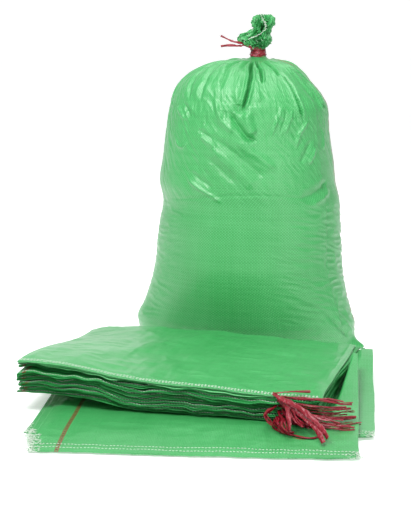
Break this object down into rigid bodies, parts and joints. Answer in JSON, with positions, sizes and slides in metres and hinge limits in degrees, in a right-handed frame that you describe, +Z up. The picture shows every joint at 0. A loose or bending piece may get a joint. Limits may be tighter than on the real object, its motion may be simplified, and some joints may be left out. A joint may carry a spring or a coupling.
{
  "type": "sack race bag",
  "caption": "Woven sack race bags with sewn bottoms and raffia ties: a filled sack standing tied at the neck, and flat folded sacks stacked in front of it.",
  "frame": {"origin": "centre of the filled sack's flat base, on the ground", "axes": "+Z up, -Y towards the folded sacks that lie in front of the filled sack, +X to the right seen from the front"},
  "size_m": [0.7681, 1.1092, 0.775],
  "materials": {
    "woven_cloth": "satin woven plastic tape",
    "contents": "loose fill",
    "thread": "soft white sewing thread",
    "raffia": "crinkled satin raffia"
  },
  "bodies": {
    "filled_sack": {"sack_cloth": "woven_cloth", "sack_contents": "contents", "bottom_seam": "woven_cloth", "bottom_seam_thread": "thread", "neck_tie_turns": "raffia", "neck_tie_knot": "raffia"},
    "mouth_frill": {"mouth_frill": "woven_cloth", "mouth_hem_thread": "thread"},
    "neck_tails": {"neck_tie_tail_upper": "raffia", "neck_tie_tail_lower": "raffia"},
    "pile_sack_1": {"pile_sack_1": "woven_cloth", "pile_seam_thread_1": "thread"},
    "pile_sack_2": {"pile_sack_2": "woven_cloth", "pile_seam_thread_2": "thread"},
    "pile_sack_3": {"pile_sack_3": "woven_cloth", "pile_seam_thread_3": "thread"},
    "pile_sack_4": {"pile_sack_4": "woven_cloth", "pile_seam_thread_4": "thread"},
    "pile_sack_5": {"pile_sack_5": "woven_cloth", "pile_seam_thread_5": "thread"},
    "bundle_sack_01": {"bundle_sack_01": "woven_cloth", "bundle_hem_thread_01": "thread", "bundle_tie_01": "raffia"},
    "bundle_sack_02": {"bundle_sack_02": "woven_cloth", "bundle_hem_thread_02": "thread", "bundle_tie_02": "raffia"},
    "bundle_sack_03": {"bundle_sack_03": "woven_cloth", "bundle_hem_thread_03": "thread", "bundle_tie_03": "raffia"},
    "bundle_sack_04": {"bundle_sack_04": "woven_cloth", "bundle_hem_thread_04": "thread", "bundle_tie_04": "raffia"},
    "bundle_sack_05": {"bundle_sack_05": "woven_cloth", "bundle_hem_thread_05": "thread", "bundle_tie_05": "raffia"},
    "bundle_sack_06": {"bundle_sack_06": "woven_cloth", "bundle_hem_thread_06": "thread", "bundle_tie_06": "raffia"},
    "bundle_sack_07": {"bundle_sack_07": "woven_cloth", "bundle_hem_thread_07": "thread", "bundle_tie_07": "raffia"},
    "bundle_sack_08": {"bundle_sack_08": "woven_cloth", "bundle_hem_thread_08": "thread", "bundle_tie_08": "raffia"},
    "bundle_sack_09": {"bundle_sack_09": "woven_cloth", "bundle_hem_thread_09": "thread", "bundle_tie_09": "raffia"},
    "bundle_sack_10": {"bundle_sack_10": "woven_cloth"},
    "top_sack_flap": {"top_sack_flap": "woven_cloth", "bundle_hem_thread_10": "thread", "bundle_tie_10": "raffia"}
  },
  "joints": [
    {"name": "mouth_tilt", "type": "hinge", "parent": "filled_sack", "child": "mouth_frill", "pos_m": [0.015, 0, 0.698], "axis": [0, 1, 0], "range_deg": [-8, 35], "stiffness_Nm_per_rad": 0.06},
    {"name": "neck_tails_swing", "type": "hinge", "parent": "filled_sack", "child": "neck_tails", "pos_m": [-0.015, -0.0115, 0.7035], "axis": [0, 1, 0], "range_deg": [-25, 10]},
    {"name": "pile_lift_1", "type": "slide", "parent": "filled_sack", "child": "pile_sack_1", "axis": [0, 0, 1], "range_m": [0, 0.04]},
    {"name": "pile_lift_2", "type": "slide", "parent": "pile_sack_1", "child": "pile_sack_2", "axis": [0, 0, 1], "range_m": [0, 0.04]},
    {"name": "pile_lift_3", "type": "slide", "parent": "pile_sack_2", "child": "pile_sack_3", "axis": [0, 0, 1], "range_m": [0, 0.04]},
    {"name": "pile_lift_4", "type": "slide", "parent": "pile_sack_3", "child": "pile_sack_4", "axis": [0, 0, 1], "range_m": [0, 0.04]},
    {"name": "pile_lift_5", "type": "slide", "parent": "pile_sack_4", "child": "pile_sack_5", "axis": [0, 0, 1], "range_m": [0, 0.04]},
    {"name": "bundle_lift_01", "type": "slide", "parent": "pile_sack_5", "child": "bundle_sack_01", "axis": [0, 0, 1], "range_m": [0, 0.04]},
    {"name": "bundle_lift_02", "type": "slide", "parent": "bundle_sack_01", "child": "bundle_sack_02", "axis": [0, 0, 1], "range_m": [0, 0.04]},
    {"name": "bundle_lift_03", "type": "slide", "parent": "bundle_sack_02", "child": "bundle_sack_03", "axis": [0, 0, 1], "range_m": [0, 0.04]},
    {"name": "bundle_lift_04", "type": "slide", "parent": "bundle_sack_03", "child": "bundle_sack_04", "axis": [0, 0, 1], "range_m": [0, 0.04]},
    {"name": "bundle_lift_05", "type": "slide", "parent": "bundle_sack_04", "child": "bundle_sack_05", "axis": [0, 0, 1], "range_m": [0, 0.04]},
    {"name": "bundle_lift_06", "type": "slide", "parent": "bundle_sack_05", "child": "bundle_sack_06", "axis": [0, 0, 1], "range_m": [0, 0.04]},
    {"name": "bundle_lift_07", "type": "slide", "parent": "bundle_sack_06", "child": "bundle_sack_07", "axis": [0, 0, 1], "range_m": [0, 0.04]},
    {"name": "bundle_lift_08", "type": "slide", "parent": "bundle_sack_07", "child": "bundle_sack_08", "axis": [0, 0, 1], "range_m": [0, 0.04]},
    {"name": "bundle_lift_09", "type": "slide", "parent": "bundle_sack_08", "child": "bundle_sack_09", "axis": [0, 0, 1], "range_m": [0, 0.04]},
    {"name": "bundle_lift_10", "type": "slide", "parent": "bundle_sack_09", "child": "bundle_sack_10", "axis": [0, 0, 1], "range_m": [0, 0.04]},
    {"name": "flap_open", "type": "hinge", "parent": "bundle_sack_10", "child": "top_sack_flap", "pos_m": [-0.36638, -0.12058, 0.06904], "axis": [-0.9733, 0.2247, 0.0478], "range_deg": [0, 75]}
  ]
}
